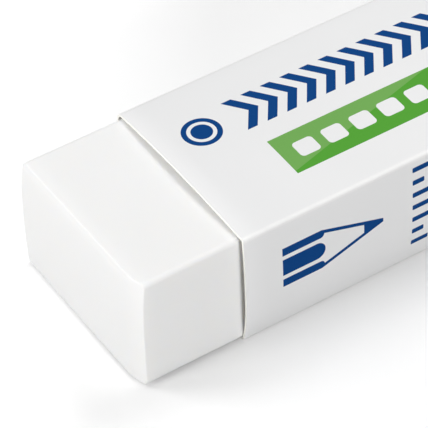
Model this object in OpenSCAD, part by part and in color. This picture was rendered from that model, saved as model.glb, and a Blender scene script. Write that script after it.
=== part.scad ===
// Rubber eraser: a white block with moulded edges that slides in a folded card sleeve.
// Millimetres. X runs along the block with its bare end at -X, Y runs across it with the
// sleeve's glued panel at +Y, and Z is up from the surface that the sleeve lies on.

/* [Block] */
// Length of the rubber block
block_len = 65; // [45:1:90]
// Width of the rubber block
block_w = 21.2; // [14:0.2:30]
// Height of the rubber block
block_h = 13; // [10.5:0.5:18]
// Radius of the block's moulded edges and corners
block_edge_r = 0.45; // [0.3:0.05:2]

/* [Sleeve] */
// Length of block left bare in front of the sleeve
bare_len = 11.5; // [5:0.5:25]
// Length of block that stands out behind the sleeve
tail_len = 0.4; // [0.2:0.1:6]
// Thickness of the card
card_t = 0.25; // [0.15:0.05:0.4]
// Outer radius of the card's folds
fold_r = 0.45; // [0.45:0.05:0.9]
// Height of the glue flap inside the back panel
flap_h = 8; // [4:0.5:9]
// Height of the back panel's cut edge above the surface
cut_edge_h = 0.7; // [0.5:0.05:2]

/* [Fit] */
// Clearance between the block's sides and the card, at the folds
side_play = 0.04; // [0.02:0.02:0.4]
// Clearance between the block's top and the card, at the folds
top_play = 0.08; // [0.04:0.04:0.8]
// Rise of the crowned top panel above its folds
top_crown = 0.45; // [0.1:0.05:1.2]
// Bulge of each side panel beyond its folds
side_bow = 0.35; // [0.1:0.05:0.8]

/* [Hidden] */
$fn = 96;

// A fold's circle stands this far out past each panel that it joins, so that the two
// arcs cross cleanly where they would otherwise only touch.
crossing = 0.004;
// Cutting shapes run this far past what they cut.
past = 2;

sleeve_len = block_len - bare_len - tail_len;
sleeve_x = bare_len - block_len / 2;

// The section's corners before folding. The back wall holds two thicknesses of card.
half_w = (block_w + 2 * side_play + 3 * card_t) / 2;
corner_h = block_h + top_play + 2 * card_t;

// The block's middle: it lies on the floor panel, as clear of the flap as of the front.
block_y = -card_t / 2;
block_z = card_t + block_h / 2;

// Each bowed panel is an arc over its corner-to-corner chord.
side_r = arc_radius(corner_h, side_bow);
top_r = arc_radius(2 * half_w, top_crown);
front_centre = [side_r - half_w - side_bow, corner_h / 2];
back_centre = [half_w + side_bow - side_r, corner_h / 2];
top_centre = [0, corner_h + top_crown - top_r];

// Fold centres sit where circles that keep inside two neighbouring panels cross.
top_reach = top_r - fold_r + crossing;
side_reach = side_r - fold_r + crossing;
flap_reach = side_reach - card_t;
floor_fold_z = fold_r - crossing;
fold_top_front = meet(top_centre, top_reach, front_centre, side_reach);
fold_top_back = meet(back_centre, side_reach, top_centre, top_reach);
fold_floor_front = [front_centre.x - level_reach(side_reach, front_centre.y), floor_fold_z];
fold_floor_back = [back_centre.x + level_reach(flap_reach, back_centre.y), floor_fold_z];

// Each fold's centre, and the two directions from it in which its panels start.
folds = [
    [fold_top_front, away(top_centre, fold_top_front), away(front_centre, fold_top_front)],
    [fold_top_back, away(top_centre, fold_top_back), away(back_centre, fold_top_back)],
    [fold_floor_front, away(front_centre, fold_floor_front), [0, -1]],
    [fold_floor_back, away(back_centre, fold_floor_back), [0, -1]],
];

// Radius of the circle whose arc rises by rise over a chord.
function arc_radius(chord, rise) = (chord * chord / 4 + rise * rise) / (2 * rise);

// Half width, at the floor folds' height, of a circle centred at height centre_z.
function level_reach(radius, centre_z) = sqrt(radius * radius - pow(centre_z - floor_fold_z, 2));

// Unit vector from one point to another.
function away(from, to) = (to - from) / norm(to - from);

// The point left of the line from a to b where circles of radius ra and rb round them cross.
function meet(a, ra, b, rb) =
    let (
        span = norm(b - a),
        along = (ra * ra - rb * rb + span * span) / (2 * span),
        off = sqrt(ra * ra - along * along),
        dir = (b - a) / span
    )
    a + along * dir + off * [-dir.y, dir.x];

// A rectangle centred on the origin with its corners rounded by true arcs.
module rounded_rect(a, b, r) {
    square([a, b - 2 * r], center = true);
    square([a - 2 * r, b], center = true);
    for (u = [-1, 1], v = [-1, 1]) translate([u * (a / 2 - r), v * (b / 2 - r)]) circle(r = r);
}

// A post centred on the origin, h high, with half-round ends.
module round_post(h, r) {
    rotate_extrude() intersection() {
        union() {
            square([2 * r, h - 2 * r], center = true);
            for (v = [-1, 1]) translate([0, v * (h / 2 - r)]) circle(r = r);
        }
        translate([0, -h / 2]) square([r, h]);
    }
}

// A box centred on the origin with every edge rounded and ball corners: a post in each
// corner, and two bars with rounded sections, one along x and one along y, between them.
module rounded_box(size, r) {
    for (u = [-1, 1], v = [-1, 1])
        translate([u * (size.x / 2 - r), v * (size.y / 2 - r), 0]) round_post(size.z, r);
    rotate([90, 0, 0]) linear_extrude(size.y - 2 * r, center = true)
        rounded_rect(size.x, size.z, r);
    rotate([90, 0, 90]) linear_extrude(size.x - 2 * r, center = true)
        rounded_rect(size.y, size.z, r);
}

// The area inside the panels' arcs and above the floor, drawn in by inset.
module panel_area(inset) {
    intersection() {
        translate(front_centre) circle(r = side_r - inset);
        translate(back_centre) circle(r = side_r - inset);
        translate(top_centre) circle(r = top_r - inset);
        translate([-half_w - past, inset]) square([2 * (half_w + past), corner_h + past]);
    }
}

// What the folds take off the corners of the card's outer face (inset 0) or inner face.
module fold_waste(inset) {
    for (fold = folds) {
        centre = fold[0];
        difference() {
            polygon([
                centre,
                centre + past * fold[1],
                centre + past * (fold[1] + fold[2]),
                centre + past * fold[2]
            ]);
            translate(centre) circle(r = fold_r - inset);
        }
    }
}

// Strip up to height h beyond the glue flap's arc, drawn in by inset from the outer face.
module beyond_arc(inset, h) {
    difference() {
        translate([0, -past]) square([half_w + past, h + past]);
        translate(back_centre) circle(r = side_r - inset);
    }
}

// The folded blank: floor, front, top and back panels, and the flap glued inside the back.
module card_section() {
    difference() {
        panel_area(0);
        fold_waste(0);
        beyond_arc(card_t, cut_edge_h);
        difference() {
            panel_area(card_t);
            fold_waste(card_t);
            beyond_arc(2 * card_t, flap_h);
        }
    }
}

module block() {
    color("whitesmoke") translate([0, block_y, block_z])
        rounded_box([block_len, block_w, block_h], block_edge_r);
}

module sleeve() {
    color("gainsboro") translate([sleeve_x, 0, 0]) rotate([90, 0, 90])
        linear_extrude(sleeve_len) card_section();
}

block();
sleeve();
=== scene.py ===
# Looks of a rubber eraser: a white block that slides in a folded card sleeve with plain print.
# Metres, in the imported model's frame: X runs along the block with its bare end at -X, the
# sleeve's glued panel is at +Y, and Z is up from the surface that the sleeve lies on.

import math

import bmesh
import bpy
from mathutils import Matrix, Vector, noise


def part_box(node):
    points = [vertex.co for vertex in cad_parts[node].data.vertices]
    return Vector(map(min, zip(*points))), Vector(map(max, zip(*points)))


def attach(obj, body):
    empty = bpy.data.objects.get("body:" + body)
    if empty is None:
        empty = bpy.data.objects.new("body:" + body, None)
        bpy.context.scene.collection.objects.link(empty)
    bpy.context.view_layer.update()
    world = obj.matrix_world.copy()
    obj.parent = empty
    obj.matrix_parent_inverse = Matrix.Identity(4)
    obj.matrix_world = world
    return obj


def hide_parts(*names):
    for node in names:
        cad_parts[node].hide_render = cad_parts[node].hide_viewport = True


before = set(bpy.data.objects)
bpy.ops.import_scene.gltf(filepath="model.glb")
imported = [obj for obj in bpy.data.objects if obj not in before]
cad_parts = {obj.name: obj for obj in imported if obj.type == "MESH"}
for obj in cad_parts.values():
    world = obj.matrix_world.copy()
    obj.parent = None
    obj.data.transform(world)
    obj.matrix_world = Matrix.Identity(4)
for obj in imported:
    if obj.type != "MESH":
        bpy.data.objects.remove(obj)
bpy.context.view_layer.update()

MM = 0.001

# Card sizes, as in the part's source.
CARD_T = 0.25 * MM
TOP_CROWN = 0.45 * MM
SIDE_BOW = 0.35 * MM
CUT_EDGE_H = 0.7 * MM
FLAP_H = 8 * MM

# Outer radii of three folds: from the floor to the glue flap, from the back panel to the top
# and from the top to the front panel.
FLAP_FOLD_R = 0.45 * MM
BACK_FOLD_R = 0.9 * MM
TOP_FOLD_R = 0.32 * MM

# The card's cut edges are rounded by this much.
CUT_EDGE_R = 0.03 * MM

# Glue between the flap and the back panel.
GLUE_T = 0.012 * MM

# Height at which the front panel bulges most, how far it draws in again below that,
# and the radius of its fold to the floor.
FRONT_BULGE_H = 4.9 * MM
LOW_BOW = 0.66 * MM
LOW_FOLD_R = 0.55 * MM

# Radius of the block's long edges, and of the crease round each end.
LONG_EDGE_R = 0.5 * MM
CREASE_R = 0.12 * MM

# Each end swells a little between its creases, over a curved margin.
END_SWELL = 0.12 * MM
END_MARGIN = 1.15 * MM

# The bare end was cut deeper along its front edge, hardly at its low and back edges, and
# leans in towards the top.
FRONT_SWELL = 0.62 * MM
FRONT_MARGIN = 3.0 * MM
LOW_SWELL = 0.04 * MM
BARE_LEAN = 0.4 * MM

# Length of block at each end that follows the end's form, and the bulge of its back.
END_ZONE = 2.2 * MM
BACK_BULGE = 0.2 * MM

# The front side lies this far inside the block's box along its low edge and along its top
# edge, first at the bare end and then from MOUTH_X on.
END_SLIM = (0.11 * MM, 0.2 * MM)
MOUTH_SLIM = (0.14 * MM, 0.35 * MM)
MOUTH_X = 9 * MM

# The block's faces lie unevenly, by up to twice this depth, in hollows this far apart.
HOLLOW_DEPTH = 0.012 * MM
HOLLOW_PITCH = 6 * MM

# Distances from the block's long edges, in millimetres, at which its sides have lines of
# vertices. Beyond the last distance the lines lie evenly.
EDGE_RINGS = (0.12, 0.2, 0.3, 0.4, 0.5, 0.65, 0.82, 1.0, 1.2, 1.45, 1.7, 2.0, 2.4)
FLAT_FROM = 3 * MM


# Camera and light

# Strength of the surroundings as a light on the object.
ROOM_LIGHT = 0.02


def point_at(target, location, roll=0.0):
    """Placing matrix of a camera or lamp that looks from location to target."""
    aim = Vector(target) - Vector(location)
    turn = aim.to_track_quat("-Z", "Y").to_matrix() @ Matrix.Rotation(roll, 3, "Z")
    return Matrix.LocRotScale(Vector(location), turn, None)


def place_camera():
    """The camera, which looks down at the bare end from its front corner."""
    lens = bpy.data.cameras.new("camera")
    lens.sensor_width = 36
    lens.lens = 226.69
    camera = bpy.data.objects.new("camera", lens)
    bpy.context.scene.collection.objects.link(camera)
    camera.matrix_world = point_at(
        target=(-0.01751, -0.00058, 0.0070),
        location=(-0.11802, -0.16122, 0.18684),
        roll=math.radians(-2.0),
    )
    bpy.context.scene.camera = camera


def softbox(name, direction, distance, size, power):
    """A square lamp that faces the eraser from one side."""
    lamp = bpy.data.lights.new(name, "AREA")
    lamp.shape = "SQUARE"
    lamp.size = size
    lamp.energy = power
    box = bpy.data.objects.new(name, lamp)
    bpy.context.scene.collection.objects.link(box)
    box.matrix_world = point_at((0, 0, 0.005), Vector(direction).normalized() * distance)


def light_room():
    """Even surroundings that are plain white to the eye and hardly light the object."""
    world = bpy.data.worlds.new("white_room")
    bpy.context.scene.world = world
    world.use_nodes = True
    tree = world.node_tree
    glow = tree.nodes["Background"]
    glow.inputs["Color"].default_value = (1, 1, 1, 1)
    strength = calc(tree, "MULTIPLY_ADD", seen_directly(tree), 1 - ROOM_LIGHT, ROOM_LIGHT)
    tree.links.new(strength, glow.inputs["Strength"])


# Node helpers

def calc(tree, operation, *values, clamp=False):
    """Output of a Math node over sockets or plain numbers."""
    maths = tree.nodes.new("ShaderNodeMath")
    maths.operation = operation
    maths.use_clamp = clamp
    for slot, value in zip(maths.inputs, values):
        feed(tree, value, slot)
    return maths.outputs[0]


def feed(tree, value, slot):
    """Link a socket to an input, or set a plain value on it."""
    if isinstance(value, bpy.types.NodeSocket):
        tree.links.new(value, slot)
    else:
        slot.default_value = value


def new_group(name, inputs, output):
    """An empty node group for plain numbers, with one output. Returns its tree and ends."""
    tree = bpy.data.node_groups.new(name, "ShaderNodeTree")
    for label in inputs:
        tree.interface.new_socket(label, in_out="INPUT", socket_type="NodeSocketFloat")
    tree.interface.new_socket(output, in_out="OUTPUT", socket_type="NodeSocketFloat")
    start = tree.nodes.new("NodeGroupInput").outputs
    end = tree.nodes.new("NodeGroupOutput").inputs
    return tree, start, end


def use_group(tree, group, **values):
    """Place a group in a tree. Underscores in the names of its values stand for spaces."""
    placed = tree.nodes.new("ShaderNodeGroup")
    placed.node_tree = group
    for label, value in values.items():
        feed(tree, value, placed.inputs[label.replace("_", " ")])
    return placed.outputs[0]


def millimetres(tree):
    """The Object coordinates in millimetres: as one vector, then X, Y and Z."""
    place = tree.nodes.new("ShaderNodeTexCoord").outputs["Object"]
    scaled = tree.nodes.new("ShaderNodeVectorMath")
    scaled.operation = "SCALE"
    tree.links.new(place, scaled.inputs[0])
    scaled.inputs["Scale"].default_value = 1 / MM
    parts = tree.nodes.new("ShaderNodeSeparateXYZ")
    tree.links.new(scaled.outputs[0], parts.inputs[0])
    return scaled.outputs[0], parts.outputs["X"], parts.outputs["Y"], parts.outputs["Z"]


def grain(tree, place, scale, detail=2.0, rough=0.5):
    """Height of a noise over the surface. Scale is in waves per millimetre."""
    speckle = tree.nodes.new("ShaderNodeTexNoise")
    tree.links.new(place, speckle.inputs["Vector"])
    speckle.inputs["Scale"].default_value = scale
    speckle.inputs["Detail"].default_value = detail
    speckle.inputs["Roughness"].default_value = rough
    return speckle.outputs["Fac"]


def seen_directly(tree):
    """1 where the camera, a reflection or a clear piece shows a surface, and 0 for its light."""
    ray = tree.nodes.new("ShaderNodeLightPath").outputs
    seen = calc(tree, "MAXIMUM", ray["Is Camera Ray"], ray["Is Glossy Ray"])
    return calc(tree, "MAXIMUM", seen, ray["Is Transmission Ray"])


def blend_colour(tree, share, below, above):
    """Colour below, covered by colour above where share is 1."""
    mix = tree.nodes.new("ShaderNodeMix")
    mix.data_type = "RGBA"
    feed(tree, share, mix.inputs["Factor"])
    feed(tree, below, mix.inputs["A"])
    feed(tree, above, mix.inputs["B"])
    return mix.outputs["Result"]


def bump(tree, height, distance, strength=1.0):
    """Normal of a surface that rises by distance, in metres, where height is 1."""
    relief = tree.nodes.new("ShaderNodeBump")
    relief.inputs["Strength"].default_value = strength
    relief.inputs["Distance"].default_value = distance
    tree.links.new(height, relief.inputs["Height"])
    return relief.outputs["Normal"]


def new_material(name, roughness):
    """A material with its node tree and its Principled shader."""
    material = bpy.data.materials.new(name)
    material.use_nodes = True
    tree = material.node_tree
    finish = tree.nodes["Principled BSDF"]
    finish.inputs["Roughness"].default_value = roughness
    return material, tree, finish


# Print shapes, all in millimetres

# Width over which the ink's edges fade.
EDGE_SOFTNESS = 0.025

# The top panel's print lies above one height, and the front panel's in front of one level.
TOP_PRINT_Z = 13.2
FRONT_PRINT_Y = -10.9

# Level of the banner's middle. Its lighter part lies above a slanting line, given by its
# level at X = 0 and its slope.
BANNER_Y = -3.98
SPLIT_Y = -3.2
SPLIT_SLOPE = 0.258

# Row of rounded squares along the banner.
SQUARES_START = -10.6
SQUARES_END = 22.4
SQUARE_PITCH = 3.3


def make_bar_group():
    """Mask of a bar with rounded corners."""
    labels = ["Along", "Across", "Centre", "Level", "Half Length", "Half Width", "Corner"]
    tree, start, end = new_group("rounded_bar", labels, "Mask")

    def beyond(place, middle, half):
        off = calc(tree, "ABSOLUTE", calc(tree, "SUBTRACT", start[place], start[middle]))
        core = calc(tree, "SUBTRACT", start[half], start["Corner"])
        return calc(tree, "SUBTRACT", off, core)

    dx = beyond("Along", "Centre", "Half Length")
    dy = beyond("Across", "Level", "Half Width")
    out_x = calc(tree, "MAXIMUM", dx, 0.0)
    out_y = calc(tree, "MAXIMUM", dy, 0.0)
    squares = calc(tree, "MULTIPLY_ADD", out_x, out_x, calc(tree, "MULTIPLY", out_y, out_y))
    inside = calc(tree, "MINIMUM", calc(tree, "MAXIMUM", dx, dy), 0.0)
    distance = calc(tree, "ADD", calc(tree, "SQRT", squares), inside)
    distance = calc(tree, "SUBTRACT", distance, start["Corner"])
    mask = calc(tree, "MULTIPLY_ADD", distance, -1 / EDGE_SOFTNESS, 0.5, clamp=True)
    tree.links.new(mask, end["Mask"])
    return tree


def step_up(tree, value, edge):
    """1 where value is above edge, with a soft edge."""
    over = calc(tree, "SUBTRACT", value, edge)
    return calc(tree, "MULTIPLY_ADD", over, 1 / EDGE_SOFTNESS, 0.5, clamp=True)


def step_down(tree, value, edge):
    """1 where value is below edge, with a soft edge."""
    under = calc(tree, "SUBTRACT", edge, value)
    return calc(tree, "MULTIPLY_ADD", under, 1 / EDGE_SOFTNESS, 0.5, clamp=True)


def make_chevron_group():
    """Mask of a row of chevrons that point along the row."""
    labels = ["Along", "Across", "Start", "End", "Level", "Half Width", "Pitch", "Stroke", "Lean"]
    tree, start, end = new_group("chevron_row", labels, "Mask")
    off = calc(tree, "ABSOLUTE", calc(tree, "SUBTRACT", start["Across"], start["Level"]))
    place = calc(tree, "MULTIPLY_ADD", off, start["Lean"], start["Along"])
    run = calc(tree, "SUBTRACT", place, start["Start"])
    phase = calc(tree, "FLOORED_MODULO", run, start["Pitch"])
    in_stroke = step_down(tree, phase, start["Stroke"])
    in_stroke = calc(tree, "MULTIPLY", step_up(tree, phase, 0.0), in_stroke)
    in_row = step_down(tree, place, start["End"])
    in_row = calc(tree, "MULTIPLY", step_up(tree, run, 0.0), in_row)
    mask = calc(tree, "MULTIPLY", in_stroke, in_row)
    mask = calc(tree, "MULTIPLY", mask, step_down(tree, off, start["Half Width"]))
    tree.links.new(mask, end["Mask"])
    return tree


def disc(tree, bars, along, across, centre, level, radius):
    """Mask of a disc: a bar that is all corner."""
    return use_group(
        tree, bars, Along=along, Across=across, Centre=centre, Level=level,
        Half_Length=radius, Half_Width=radius, Corner=radius,
    )


def roundel(tree, bars, x, y):
    """A disc in a ring, beside the row of chevrons."""
    centre = -16.05
    level = 3.45
    rim_r = 2.05
    gap_r = 1.5
    core_r = 1.1
    rim = disc(tree, bars, x, y, centre, level, rim_r)
    gap = disc(tree, bars, x, y, centre, level, gap_r)
    core = disc(tree, bars, x, y, centre, level, core_r)
    ring = calc(tree, "SUBTRACT", rim, gap)
    return calc(tree, "ADD", ring, core)


def pencil(tree, bars, x, z):
    """A pictogram of a sharpened pencil on the front panel, with its point to the right."""
    level = 7.88
    left = -16.77
    shoulder = -11.86
    lead = -7.35
    tip = -5.08

    # The shaft is three bars with round ends. Each is its level, half its width and its end.
    side_off = 1.97
    side_half = 0.48
    side_end = shoulder - 0.1
    shaft_bars = (
        (level, 1.0, shoulder),
        (level + side_off, side_half, side_end),
        (level - side_off, side_half, side_end),
    )
    shaft = 0.0
    for middle, half_width, end in shaft_bars:
        bar = use_group(
            tree, bars, Along=x, Across=z, Centre=left, Level=middle,
            Half_Length=end - left, Half_Width=half_width, Corner=half_width,
        )
        shaft = calc(tree, "MAXIMUM", shaft, bar)
    shaft = calc(tree, "MULTIPLY", shaft, step_up(tree, x, left))

    # The cone is inked at its point and along its outline, and bare in its middle.
    neck = shoulder - 0.45
    neck_half = 2.46
    tip_half = 0.22
    outline = 0.42
    slope = (neck_half - tip_half) / (tip - neck)
    off = calc(tree, "ABSOLUTE", calc(tree, "SUBTRACT", z, level))
    reach = calc(tree, "MULTIPLY_ADD", x, -slope, slope * tip + tip_half)
    cone = calc(tree, "MULTIPLY", step_down(tree, off, reach), step_up(tree, x, neck))
    cone = calc(tree, "MULTIPLY", cone, step_down(tree, x, tip))
    inner = calc(tree, "SUBTRACT", reach, outline)
    wood = calc(tree, "MULTIPLY", step_down(tree, off, inner), step_down(tree, x, lead))
    inked = calc(tree, "SUBTRACT", cone, wood, clamp=True)
    return calc(tree, "MAXIMUM", shaft, inked)


def uneven(tree, number, pace, swing, middle):
    """A value that swings about middle from one whole number to the next."""
    wave = calc(tree, "SINE", calc(tree, "MULTIPLY", number, pace))
    return calc(tree, "MULTIPLY_ADD", wave, swing, middle)


def bar_rows(tree, bars, x, z):
    """Rows of short bars on the front panel, uneven in length and ragged at the right."""
    rows = 7
    row_pitch = 1.57
    first_z = 12.2
    left = -1.6

    # Distance down from the top of the first row, the row's number and the place in the row.
    drop = calc(tree, "SUBTRACT", first_z + row_pitch / 2, z)
    row = calc(tree, "FLOOR", calc(tree, "DIVIDE", drop, row_pitch))
    across = calc(tree, "FLOORED_MODULO", drop, row_pitch)

    # Distance from the row's start, the bar's number and the place in the bar's space.
    run = calc(tree, "SUBTRACT", x, left)
    bar_pitch = uneven(tree, row, pace=1.7, swing=0.4, middle=3.3)
    count = calc(tree, "FLOOR", calc(tree, "DIVIDE", run, bar_pitch))
    along = calc(tree, "FLOORED_MODULO", run, bar_pitch)

    mixed = calc(tree, "MULTIPLY_ADD", count, 2.1, calc(tree, "MULTIPLY", row, 4.7))
    half_length = uneven(tree, mixed, pace=1.0, swing=0.3, middle=1.0)
    bar = use_group(
        tree, bars, Along=along, Across=across, Centre=half_length, Level=row_pitch / 2,
        Half_Length=half_length, Half_Width=0.3, Corner=0.12,
    )
    right = uneven(tree, row, pace=2.3, swing=2.5, middle=24.0)
    in_row = calc(tree, "MULTIPLY", step_up(tree, run, 0.0), step_down(tree, x, right))
    below = step_up(tree, drop, 0.0)
    above = step_down(tree, drop, row_pitch * rows)
    in_rows = calc(tree, "MULTIPLY", below, above)
    return calc(tree, "MULTIPLY", bar, calc(tree, "MULTIPLY", in_row, in_rows))


# Materials

CARD_WHITE = (0.890, 0.891, 0.893, 1)
# White of the folds: partly card worn pale, partly a painted highlight.
WEAR_AND_HIGHLIGHT_WHITE = (0.980, 0.978, 0.970, 1)
RUBBER_WHITE = (0.955, 0.955, 0.949, 1)
RUBBER_WARM = (0.942, 0.938, 0.922, 1)
INK_BLUE = (0.003, 0.055, 0.222, 1)
GREEN_LIGHT = (0.179, 0.422, 0.103, 1)
GREEN_DARK = (0.093, 0.369, 0.041, 1)
CARD_ROUGHNESS = 0.75
INK_ROUGHNESS = 0.62


def make_rubber():
    """White rubber with a faint warmer cloud in it and fine pores."""
    material, tree, finish = new_material("white_rubber", 0.62)
    place = millimetres(tree)[0]
    drift = grain(tree, place, scale=0.12, detail=1.0)
    share = calc(tree, "MULTIPLY_ADD", drift, 0.9, -0.1, clamp=True)
    colour = blend_colour(tree, share, RUBBER_WHITE, RUBBER_WARM)
    tree.links.new(colour, finish.inputs["Base Color"])
    pores = grain(tree, place, scale=9.0, detail=3.0, rough=0.6)
    relief = bump(tree, pores, distance=0.012 * MM, strength=0.35)
    tree.links.new(relief, finish.inputs["Normal"])
    finish.inputs["Subsurface Weight"].default_value = 0.25
    finish.inputs["Subsurface Radius"].default_value = (1.0, 0.9, 0.75)
    finish.inputs["Subsurface Scale"].default_value = 1.2 * MM
    finish.inputs["Specular IOR Level"].default_value = 0.35
    return material


# Where the card's whitened folds lie in the section, as (y, z), and how far the whitening reaches
# from them, all in millimetres. The whitening is partly card worn pale at its folds and partly a
# painted highlight along them.
WEAR_AND_HIGHLIGHT_FOLDS = ((-10.96, 13.49), (10.92, 13.40), (-10.65, 0.15))
WEAR_AND_HIGHLIGHT_REACH = 0.42


def make_fold_group():
    """Mask of the strip of card along a fold that runs along X."""
    labels = ["Across", "Height", "Fold Across", "Fold Height", "Reach"]
    tree, start, end = new_group("fold_strip", labels, "Mask")
    off_y = calc(tree, "SUBTRACT", start["Across"], start["Fold Across"])
    off_z = calc(tree, "SUBTRACT", start["Height"], start["Fold Height"])
    squares = calc(tree, "MULTIPLY_ADD", off_y, off_y, calc(tree, "MULTIPLY", off_z, off_z))
    share = calc(tree, "DIVIDE", squares, calc(tree, "MULTIPLY", start["Reach"], start["Reach"]))
    tree.links.new(calc(tree, "SUBTRACT", 1.0, share, clamp=True), end["Mask"])
    return tree


def make_coated_card():
    """Coated white card with its ink, and folds whitened partly by wear and partly by a painted
    highlight.

    The top panel's print lies in X and Y, and the front panel's in X and Z.
    """
    material, tree, finish = new_material("coated_card", CARD_ROUGHNESS)
    finish.inputs["Specular IOR Level"].default_value = 0.05
    place, x, y, z = millimetres(tree)
    bars = make_bar_group()
    chevrons = make_chevron_group()
    on_top = step_up(tree, z, TOP_PRINT_Z)
    on_front = step_down(tree, y, FRONT_PRINT_Y)

    banner = use_group(
        tree, bars, Along=x, Across=y, Centre=6.1, Level=BANNER_Y,
        Half_Length=17.85, Half_Width=2.62, Corner=0.0,
    )
    banner = calc(tree, "MULTIPLY", banner, on_top)
    slanted = calc(tree, "MULTIPLY_ADD", x, -SPLIT_SLOPE, y)
    upper = step_up(tree, slanted, SPLIT_Y)
    green = blend_colour(tree, upper, GREEN_DARK, GREEN_LIGHT)
    colour = blend_colour(tree, banner, CARD_WHITE, green)

    run = calc(tree, "FLOORED_MODULO", calc(tree, "SUBTRACT", x, SQUARES_START), SQUARE_PITCH)
    squares = use_group(
        tree, bars, Along=run, Across=y, Centre=SQUARE_PITCH / 2, Level=BANNER_Y,
        Half_Length=1.15, Half_Width=1.05, Corner=0.45,
    )
    limits = calc(
        tree, "MULTIPLY", step_up(tree, x, SQUARES_START), step_down(tree, x, SQUARES_END)
    )
    squares = calc(tree, "MULTIPLY", squares, calc(tree, "MULTIPLY", limits, on_top))
    colour = blend_colour(tree, squares, colour, CARD_WHITE)

    row = use_group(
        tree, chevrons, Along=x, Across=y, Start=-10.6, End=23.2, Level=3.5,
        Half_Width=2.4, Pitch=2.3, Stroke=1.15, Lean=0.7,
    )
    top_ink = calc(tree, "MAXIMUM", row, roundel(tree, bars, x, y))
    top_ink = calc(tree, "MULTIPLY", top_ink, on_top)
    front_ink = calc(tree, "MAXIMUM", pencil(tree, bars, x, z), bar_rows(tree, bars, x, z))
    front_ink = calc(tree, "MULTIPLY", front_ink, on_front)
    ink = calc(tree, "MAXIMUM", top_ink, front_ink)
    colour = blend_colour(tree, ink, colour, INK_BLUE)
    inked = calc(tree, "MAXIMUM", ink, banner)
    inked = calc(tree, "SUBTRACT", inked, squares, clamp=True)
    smoother = INK_ROUGHNESS - CARD_ROUGHNESS
    roughness = calc(tree, "MULTIPLY_ADD", inked, smoother, CARD_ROUGHNESS)
    tree.links.new(roughness, finish.inputs["Roughness"])

    # Strips along the folds are whitened in patches: partly wear of the card, partly a painted
    # highlight.
    folds = make_fold_group()
    wear_and_highlight = 0.0
    for fold_y, fold_z in WEAR_AND_HIGHLIGHT_FOLDS:
        strip = use_group(
            tree, folds, Across=y, Height=z,
            Fold_Across=fold_y, Fold_Height=fold_z, Reach=WEAR_AND_HIGHLIGHT_REACH,
        )
        wear_and_highlight = calc(tree, "MAXIMUM", wear_and_highlight, strip)
    patches = grain(tree, place, scale=0.8)
    patchiness = calc(tree, "MULTIPLY_ADD", patches, 1.2, 0.35, clamp=True)
    wear_and_highlight = calc(tree, "MULTIPLY", wear_and_highlight, patchiness)
    colour = blend_colour(tree, wear_and_highlight, colour, WEAR_AND_HIGHLIGHT_WHITE)
    tree.links.new(colour, finish.inputs["Base Color"])

    waves = grain(tree, place, scale=0.09, detail=1.0)
    fibres = grain(tree, place, scale=6.0, detail=3.0, rough=0.6)
    height = calc(tree, "MULTIPLY_ADD", fibres, 0.008, waves)
    tree.links.new(bump(tree, height, distance=0.2 * MM), finish.inputs["Normal"])
    return material


# Two tones of the sleeve's bare inside, and of its cut edges.
RAW_TONES = ((0.62, 0.61, 0.57, 1), (0.74, 0.73, 0.69, 1))
CUT_TONES = ((0.90, 0.89, 0.83, 1), (0.97, 0.96, 0.91, 1))


def make_raw_card(name, shade, light):
    """Bare card, with fibres that run from one tone to the other."""
    material, tree, finish = new_material(name, 0.85)
    place = millimetres(tree)[0]
    fibres = grain(tree, place, scale=7.0, detail=4.0, rough=0.65)
    colour = blend_colour(tree, fibres, shade, light)
    tree.links.new(colour, finish.inputs["Base Color"])
    relief = bump(tree, fibres, distance=0.03 * MM, strength=0.5)
    tree.links.new(relief, finish.inputs["Normal"])
    return material


# Pieces

def finish_piece(name, mesh, materials, node, body):
    """Make the object for a mesh that stands for a CAD node."""
    data = bpy.data.meshes.new(name)
    mesh.to_mesh(data)
    mesh.free()
    for material in materials:
        data.materials.append(material)
    piece = bpy.data.objects.new(name, data)
    bpy.context.scene.collection.objects.link(piece)
    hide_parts(node)
    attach(piece, body)
    return piece


# A cut that passes this close to a vertex goes through it.
SNAP = 0.004 * MM


def cut_rings(mesh, axis, stations):
    """Cut the mesh across one axis at each station, so that it has rings of vertices there."""
    normal = Vector((0, 0, 0))
    normal[axis] = 1
    for station in stations:
        everything = mesh.verts[:] + mesh.edges[:] + mesh.faces[:]
        bmesh.ops.bisect_plane(
            mesh, geom=everything, dist=SNAP, plane_co=normal * station, plane_no=normal
        )


def spread(low, high, steps):
    """Evenly spaced stations from low to high, both included."""
    return [low + (high - low) * i / steps for i in range(steps + 1)]


def end_fall(place, size):
    """How far an end face lies inside the block's box, at a place given from its middle."""
    cut_front = place.x < 0 and place.y < 0
    margins = (FRONT_MARGIN if cut_front else END_MARGIN, END_MARGIN)
    gaps = [size[axis] / 2 - abs(place[axis]) for axis in (1, 2)]
    near = [max(0, 1 - gap / margin) ** 2 for gap, margin in zip(gaps, margins)]
    if place.x > 0:
        return END_SWELL * math.hypot(*near)
    side = FRONT_SWELL if cut_front else LOW_SWELL
    level = END_SWELL if place.z > 0 else LOW_SWELL
    lean = BARE_LEAN * max(0, 2 * place.z / size.z) ** 2
    return math.hypot(side * near[0], level * near[1]) + lean


def part_way(start, end, share):
    """The value that lies share of the way from start to end."""
    return start + (end - start) * share


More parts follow.
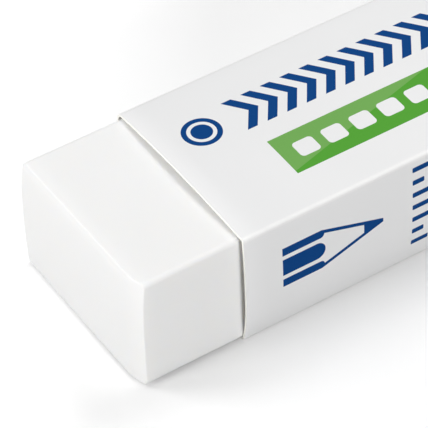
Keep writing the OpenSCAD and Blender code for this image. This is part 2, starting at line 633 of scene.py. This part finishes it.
def make_block():
    """The white block, with ends that swell between sharp creases and a back that bulges."""
    low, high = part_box("block")
    size = high - low
    middle = (low + high) / 2
    mesh = bmesh.new()
    bmesh.ops.create_cube(mesh, size=1)
    bmesh.ops.scale(mesh, vec=size, verts=mesh.verts[:])
    bmesh.ops.translate(mesh, vec=middle, verts=mesh.verts[:])
    long_edges = [edge for edge in mesh.edges if edge.calc_length() > size.x - MM]
    bmesh.ops.bevel(
        mesh, geom=long_edges, offset=LONG_EDGE_R, offset_type="OFFSET",
        segments=8, profile=0.5, affect="EDGES", material=-1,
    )
    end_edges = [edge for edge in mesh.edges if edge.calc_face_angle(0) > math.radians(60)]
    bmesh.ops.bevel(
        mesh, geom=end_edges, offset=CREASE_R, offset_type="OFFSET",
        segments=4, profile=0.5, affect="EDGES", material=-1,
    )
    cut_rings(mesh, 0, spread(low.x + END_ZONE, high.x - END_ZONE, 24))
    for axis, inner in ((1, 6), (2, 4)):
        cut_rings(mesh, axis, [low[axis] + ring * MM for ring in EDGE_RINGS])
        cut_rings(mesh, axis, [high[axis] - ring * MM for ring in EDGE_RINGS])
        cut_rings(mesh, axis, spread(low[axis] + FLAT_FROM, high[axis] - FLAT_FROM, inner))

    for vert in mesh.verts:
        hollow = noise.noise(vert.co / HOLLOW_PITCH) + 1
        vert.co -= vert.normal * HOLLOW_DEPTH * hollow
    for vert in mesh.verts:
        place = vert.co - middle
        if abs(place.x) > (size.x - END_ZONE) / 2:
            vert.co.x -= math.copysign(end_fall(place, size), place.x)
        if place.y > 0:
            rise = 1 - (2 * place.z / size.z) ** 2
            vert.co.y += BACK_BULGE * rise * 2 * place.y / size.y
        else:
            along = min(1, (place.x + size.x / 2) / MOUTH_X)
            up = 0.5 + place.z / size.z
            bare = part_way(*END_SLIM, up)
            mouth = part_way(*MOUTH_SLIM, up)
            vert.co.y -= part_way(bare, mouth, along) * 2 * place.y / size.y
    for face in mesh.faces:
        face.smooth = True
    return finish_piece(
        "rubber_block", mesh, [make_rubber()], "block", "block"
    )


def arc_radius(chord, rise):
    """Radius of the circle whose arc rises by rise over a chord."""
    return (chord * chord / 4 + rise * rise) / (2 * rise)


def meet(a, ra, b, rb):
    """The point left of the line from a to b where circles round them cross."""
    span = (b - a).length
    along = (ra * ra - rb * rb + span * span) / (2 * span)
    off = math.sqrt(ra * ra - along * along)
    way = (b - a) / span
    return a + along * way + off * Vector((-way.y, way.x))


def level_reach(radius, drop):
    """Half width of a circle at a height that is drop away from its centre."""
    return math.sqrt(radius * radius - drop * drop)


def bearing(centre, point):
    """Angle of point round centre, in the section, from 0 to a full turn."""
    away = point - centre
    return math.atan2(away.y, away.x) % (2 * math.pi)


# Places of the card's three finishes in the sleeve's list of materials.
COATED, RAW, CUT = range(3)


def make_sleeve():
    """The card sleeve: one strip, bent round its folds and given the card's thickness."""
    low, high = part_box("sleeve")
    half_w = high.y - SIDE_BOW
    corner_h = high.z - TOP_CROWN
    side_r = arc_radius(corner_h, SIDE_BOW)
    top_r = arc_radius(2 * half_w, TOP_CROWN)
    flap_r = side_r - CARD_T - GLUE_T

    # Centres in the section, as (y, z).
    upper_r = arc_radius(2 * (corner_h - FRONT_BULGE_H), SIDE_BOW)
    lower_r = arc_radius(2 * FRONT_BULGE_H, LOW_BOW)
    upper = Vector((upper_r - half_w - SIDE_BOW, FRONT_BULGE_H))
    lower = Vector((lower_r - half_w - SIDE_BOW, FRONT_BULGE_H))
    back = Vector((half_w + SIDE_BOW - side_r, corner_h / 2))
    top = Vector((0, corner_h + TOP_CROWN - top_r))
    top_front = meet(top, top_r - TOP_FOLD_R, upper, upper_r - TOP_FOLD_R)
    top_back = meet(back, side_r - BACK_FOLD_R, top, top_r - BACK_FOLD_R)
    low_reach = level_reach(lower_r - LOW_FOLD_R, lower.y - LOW_FOLD_R)
    floor_front = Vector((lower.x - low_reach, LOW_FOLD_R))
    flap_reach = level_reach(flap_r - FLAP_FOLD_R, back.y - FLAP_FOLD_R)
    floor_back = Vector((back.x + flap_reach, FLAP_FOLD_R))

    down = 1.5 * math.pi
    turn = 2 * math.pi
    cut_angle = math.asin((CUT_EDGE_H - back.y) / side_r)
    flap_angle = math.asin((FLAP_H - back.y) / flap_r)

    # Each bend is its centre, its first and last angle, and the number of steps in it.
    up_back = bearing(back, top_back)
    over_back = bearing(top, top_back)
    over_front = bearing(top, top_front)
    down_front = bearing(upper, top_front)
    in_front = bearing(lower, floor_front)
    up_flap = bearing(back, floor_back) - turn
    bends = [
        (back, cut_angle, up_back, 16),
        (top_back, up_back, over_back, 10),
        (top, over_back, over_front, 24),
        (top_front, over_front, down_front, 10),
        (upper, down_front, math.pi, 12),
        (lower, math.pi, in_front, 8),
        (floor_front, in_front, down, 10),
        (floor_back, down, up_flap + turn, 10),
        (back, up_flap, flap_angle, 10),
    ]

    mesh = bmesh.new()
    tip = mesh.verts.new((low.x, back.x + side_r * math.cos(cut_angle), CUT_EDGE_H))
    for centre, first, last, steps in bends:
        if centre is floor_back:
            across = bmesh.ops.extrude_vert_indiv(mesh, verts=[tip])["verts"][0]
            across.co.y = floor_back.x
            tip = across
        bent = bmesh.ops.spin(
            mesh, geom=[tip], cent=(low.x, centre.x, centre.y), axis=(1, 0, 0),
            angle=last - first, steps=steps, use_duplicate=False,
        )
        tip = bent["geom_last"][0]
    pulled = bmesh.ops.extrude_edge_only(mesh, edges=mesh.edges[:])
    moved = [part for part in pulled["geom"] if isinstance(part, bmesh.types.BMVert)]
    bmesh.ops.translate(mesh, vec=(high.x - low.x, 0, 0), verts=moved)
    cut_rings(mesh, 0, spread(low.x, high.x, 24)[1:-1])
    mesh.normal_update()
    highest = max(mesh.faces, key=lambda face: face.calc_center_median().z)
    if highest.normal.z < 0:
        bmesh.ops.reverse_faces(mesh, faces=mesh.faces[:])
    outside = mesh.faces[:]
    bmesh.ops.solidify(mesh, geom=outside, thickness=CARD_T)
    for face in mesh.faces:
        face.material_index = RAW
    for face in outside:
        face.material_index = COATED
    for face in mesh.faces:
        if abs(face.normal.x) > 0.9:
            face.material_index = CUT
    sharp = [edge for edge in mesh.edges if edge.calc_face_angle(0) > math.radians(50)]
    bmesh.ops.bevel(
        mesh, geom=sharp, offset=CUT_EDGE_R, offset_type="OFFSET",
        segments=2, profile=0.5, affect="EDGES", material=CUT,
    )
    for face in mesh.faces:
        face.smooth = True
    raw = make_raw_card("raw_card", *RAW_TONES)
    cut = make_raw_card("cut_card", *CUT_TONES)
    return finish_piece(
        "card_sleeve", mesh, [make_coated_card(), raw, cut], "sleeve", "sleeve"
    )


# Floor

# The floor's grey for the light that it throws on the object, and its white as it is seen.
FLOOR_GREY = (0.37, 0.37, 0.37, 1)
FLOOR_WHITE = (0.93, 0.93, 0.93, 1)

# Glow of the floor as it is seen, and how much more of it there is beyond the bare end and the
# back: a painted pool of light that washes out the object's shadow there. It grows that way over
# a wide band, given in millimetres.
FLOOR_LIFT = 0.13
FAR_LIGHT_POOL = 0.15
FAR_WAY = (-0.8, 0.6)
BAND_START = 16
BAND_WIDTH = 14


def make_floor():
    """A plain white floor that keeps the shadow and looks white where nothing shades it, with a
    painted pool of light beyond the bare end and the back that washes its shadow out there.
    """
    mesh = bmesh.new()
    bmesh.ops.create_grid(mesh, x_segments=1, y_segments=1, size=1.5)
    bmesh.ops.translate(mesh, vec=(0, 0, -0.01 * MM), verts=mesh.verts[:])
    data = bpy.data.meshes.new("floor")
    mesh.to_mesh(data)
    mesh.free()
    floor = bpy.data.objects.new("floor", data)
    bpy.context.scene.collection.objects.link(floor)
    material, tree, finish = new_material("white_floor", 0.9)
    finish.inputs["Specular IOR Level"].default_value = 0.0
    seen = seen_directly(tree)
    x, y = millimetres(tree)[1:3]
    # Painted light: the floor glows more beyond the bare end and the back, over the shadow there.
    reach = calc(tree, "MULTIPLY_ADD", y, FAR_WAY[1], calc(tree, "MULTIPLY", x, FAR_WAY[0]))
    far = calc(tree, "DIVIDE", calc(tree, "SUBTRACT", reach, BAND_START), BAND_WIDTH, clamp=True)
    lift = calc(tree, "MULTIPLY_ADD", far, FAR_LIGHT_POOL, FLOOR_LIFT)
    colour = blend_colour(tree, seen, FLOOR_GREY, FLOOR_WHITE)
    tree.links.new(colour, finish.inputs["Base Color"])
    finish.inputs["Emission Color"].default_value = (1, 1, 1, 1)
    tree.links.new(calc(tree, "MULTIPLY", seen, lift), finish.inputs["Emission Strength"])
    data.materials.append(material)


place_camera()
light_room()
softbox("left", direction=(-0.951, 0, 0.309), distance=0.6, size=0.26, power=1.97)
softbox("front", direction=(0, -0.951, 0.309), distance=0.6, size=0.26, power=2.1)
softbox("back", direction=(-0.526, 0.526, 0.669), distance=0.6, size=0.26, power=1.17)
softbox("high_right", direction=(0.480, 0.200, 0.855), distance=0.3, size=0.14, power=0.42)
make_floor()
make_block()
make_sleeve()

scene = bpy.context.scene
scene.view_settings.view_transform = "Standard"
